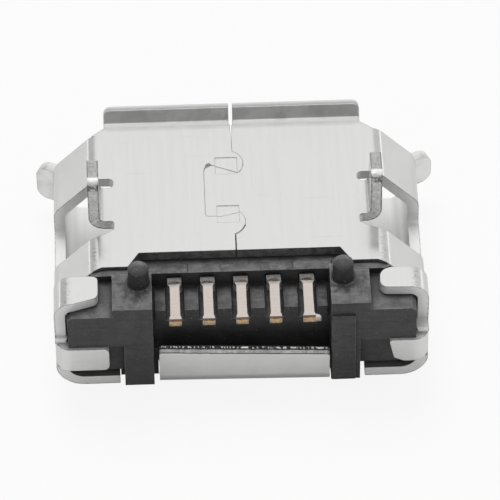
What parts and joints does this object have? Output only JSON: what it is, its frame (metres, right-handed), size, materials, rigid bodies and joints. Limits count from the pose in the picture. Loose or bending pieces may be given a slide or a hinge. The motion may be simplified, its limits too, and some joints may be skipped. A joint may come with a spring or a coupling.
{
  "type": "micro usb socket",
  "caption": "Board mounted micro USB socket: folded metal shell with flared mouth and board legs, black moulded insert with locating pegs, and a row of solder tails.",
  "frame": {"origin": "on the board plane, midway between the two locating pegs", "axes": "+Z points at the circuit board, +Y points out of the mouth, +X points right seen from the solder end"},
  "size_m": [0.008, 0.0056, 0.0037],
  "materials": {
    "plated_steel": "satin plated sheet",
    "black_plastic": "fine moulded texture",
    "contact_alloy": "tin plated tops, bare copper alloy at the cut ends"
  },
  "bodies": {
    "root": {"shell": "plated_steel", "housing": "black_plastic", "contact_1": "contact_alloy", "contact_2": "contact_alloy", "contact_3": "contact_alloy", "contact_4": "contact_alloy", "contact_5": "contact_alloy"}
  },
  "joints": []
}
